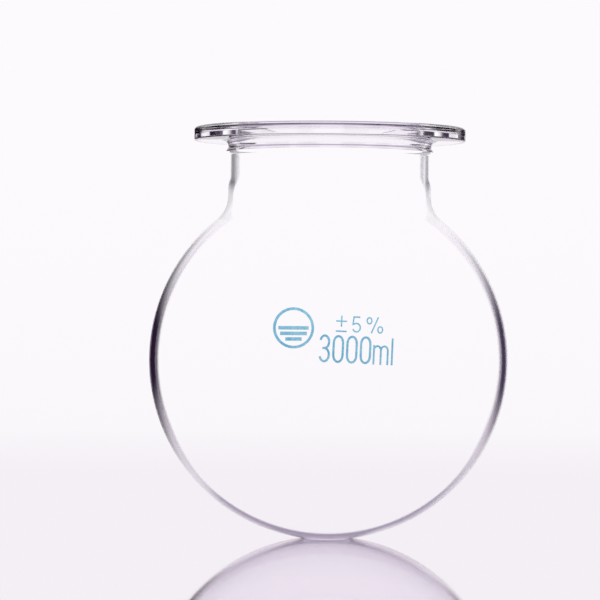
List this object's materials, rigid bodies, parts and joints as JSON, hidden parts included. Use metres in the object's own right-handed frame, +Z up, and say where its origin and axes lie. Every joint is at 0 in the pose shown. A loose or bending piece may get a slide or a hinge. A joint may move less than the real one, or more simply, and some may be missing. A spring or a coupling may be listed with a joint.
{
  "type": "round bottom flask",
  "caption": "Clear glass round bottom reaction flask with a short wide neck and a flat clamping flange, for holding and heating liquids.",
  "frame": {"origin": "centre of the flattened foot under the bulb, on the surface that the flask stands on", "axes": "+Z up along the flask's axis of revolution, through the neck; the printed capacity faces -Y"},
  "size_m": [0.185, 0.1852, 0.2112],
  "materials": {
    "borosilicate_glass": "clear, fire polished",
    "fired_enamel": "satin, fired on"
  },
  "bodies": {
    "root": {"bulb": "borosilicate_glass", "neck_tube": "borosilicate_glass", "flange": "borosilicate_glass", "capacity_digit_3": "fired_enamel", "capacity_zero_1": "fired_enamel", "capacity_zero_2": "fired_enamel", "capacity_zero_3": "fired_enamel", "percent_ring_lower": "fired_enamel", "percent_ring_upper": "fired_enamel", "percent_slash": "fired_enamel", "roundel_bar_lower": "fired_enamel", "roundel_bar_middle": "fired_enamel", "roundel_bar_upper": "fired_enamel", "roundel_ring": "fired_enamel", "tolerance_digit_5": "fired_enamel", "tolerance_minus": "fired_enamel", "tolerance_plus": "fired_enamel", "unit_letter_l": "fired_enamel", "unit_letter_m": "fired_enamel"}
  },
  "joints": []
}
